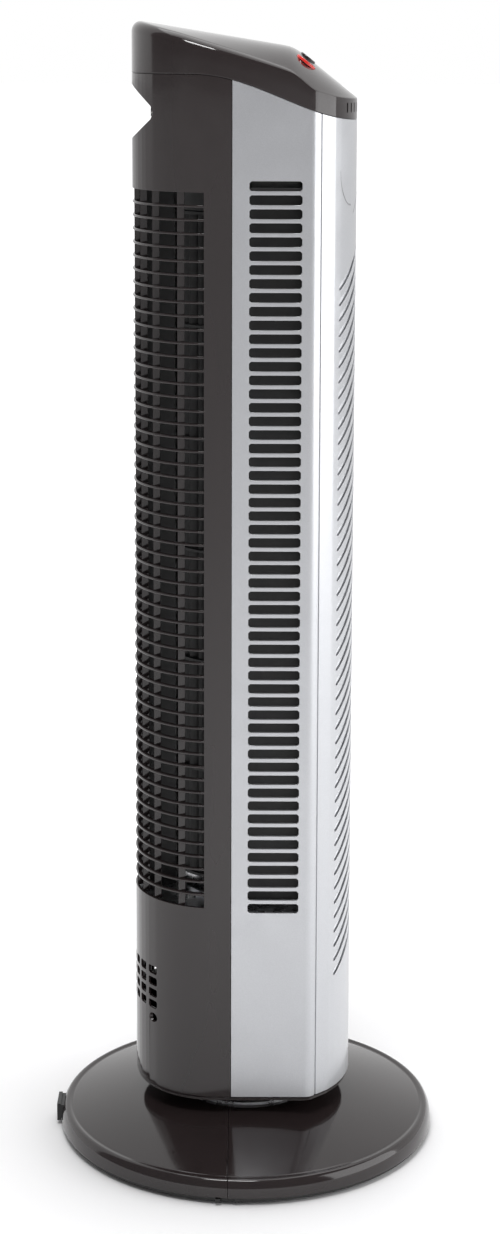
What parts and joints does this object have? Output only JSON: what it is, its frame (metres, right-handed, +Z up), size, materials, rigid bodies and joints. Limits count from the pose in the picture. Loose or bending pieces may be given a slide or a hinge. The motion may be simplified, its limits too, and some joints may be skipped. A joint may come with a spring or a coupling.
{
  "type": "tower fan",
  "caption": "Tall oscillating tower fan: dark round back with intake grille, silver slotted sides, louvred front, sloping control cap and round glossy base.",
  "frame": {"origin": "on the floor, at the centre of the round base, on the swivel axis", "axes": "+Z up along the swivel axis, -Y towards the front (air outlet), +X to the right seen from the front"},
  "size_m": [0.328, 0.3315, 0.9685],
  "materials": {
    "charcoal_gloss": "glossy moulded ABS",
    "black_plastic": "matt moulded plastic",
    "silver_paint": "satin silver metallic paint on ABS",
    "black_rubber": "matt",
    "galvanised_steel": "galvanised sheet",
    "zinc_screw": "zinc plated",
    "bright_steel": "ground",
    "nylon": "natural nylon",
    "grey_plastic": "matt moulded plastic",
    "copper_winding": "enamelled wire",
    "bronze_bush": "sintered bronze",
    "core_steel": "laminated",
    "circuit_board": "solder resist",
    "red_light": "translucent red moulding",
    "dark_lens": "smoked infrared window",
    "button_gloss": "glossy moulded ABS",
    "capacitor_case": "moulded case",
    "lead_sheath": "PVC sheath"
  },
  "bodies": {
    "base": {"base_front_half": "charcoal_gloss", "base_rear_half": "charcoal_gloss", "base_bottom_cover": "black_plastic", "ballast_plate": "bright_steel", "rubber_feet": "black_rubber", "base_screws": "zinc_screw", "cord_gland": "black_plastic", "swivel_plate": "galvanised_steel", "swivel_screws": "zinc_screw", "pivot_tube": "bright_steel", "thrust_washer": "nylon", "retaining_washer": "zinc_screw", "fixed_gear": "nylon", "retaining_nut": "zinc_screw"},
    "column": {"body_floor": "charcoal_gloss", "rear_housing": "charcoal_gloss", "left_side_panel": "silver_paint", "right_side_panel": "silver_paint", "front_panel": "silver_paint", "top_cap": "charcoal_gloss", "remote_window": "dark_lens", "power_light_ring": "red_light", "control_board": "circuit_board", "push_switches": "black_plastic", "upper_deck": "black_plastic", "bearing_holder": "grey_plastic", "bearing_cushion": "black_rubber", "top_bush": "bronze_bush", "scroll_guide": "black_plastic", "tongue_guide": "black_plastic", "intake_divider": "black_plastic", "motor_deck": "galvanised_steel", "motor_grommets": "black_rubber", "motor_screws": "zinc_screw", "motor_upper_shell": "galvanised_steel", "motor_lower_shell": "galvanised_steel", "motor_case_screws": "zinc_screw", "stator_core": "core_steel", "stator_windings": "copper_winding", "motor_bushes": "bronze_bush", "capacitor": "capacitor_case", "internal_lead": "lead_sheath", "lead_clips": "nylon", "swing_motor": "galvanised_steel", "swing_motor_screws": "zinc_screw", "housing_screws": "zinc_screw", "cap_screws": "zinc_screw"},
    "blower": {"blower_wheel": "black_plastic", "drive_shaft": "bright_steel", "rotor": "core_steel", "top_pin": "bright_steel"},
    "pinion": {"swing_pinion": "nylon", "pinion_shaft": "bright_steel"},
    "power_button": {"power_button": "button_gloss"},
    "speed_button": {"speed_button": "button_gloss"},
    "timer_button": {"timer_button": "button_gloss"},
    "swing_button": {"swing_button": "button_gloss"}
  },
  "joints": [
    {"name": "swing", "type": "hinge", "parent": "base", "child": "column", "pos_m": [0, 0, 0.05], "axis": [0, 0, 1], "range_deg": [-35, 35]},
    {"name": "blower_spin", "type": "hinge", "parent": "column", "child": "blower", "pos_m": [0, 0.014, 0.5], "axis": [0, 0, 1], "continuous": true},
    {"name": "pinion_spin", "type": "hinge", "parent": "column", "child": "pinion", "pos_m": [0, 0.045, 0.066], "axis": [0, 0, 1], "range_deg": [-141, 141]},
    {"name": "power_press", "type": "slide", "parent": "column", "child": "power_button", "axis": [0, 0.6221, -0.7829], "range_m": [0, 0.001], "stiffness_N_per_m": 400, "springref_m": -0.001},
    {"name": "speed_press", "type": "slide", "parent": "column", "child": "speed_button", "axis": [0, 0.6221, -0.7829], "range_m": [0, 0.001], "stiffness_N_per_m": 400, "springref_m": -0.001},
    {"name": "timer_press", "type": "slide", "parent": "column", "child": "timer_button", "axis": [0, 0.6221, -0.7829], "range_m": [0, 0.001], "stiffness_N_per_m": 400, "springref_m": -0.001},
    {"name": "swing_press", "type": "slide", "parent": "column", "child": "swing_button", "axis": [0, 0.6221, -0.7829], "range_m": [0, 0.001], "stiffness_N_per_m": 400, "springref_m": -0.001}
  ],
  "couplings": [
    {"joint": "pinion_spin", "follows": "swing", "ratio": 4}
  ]
}
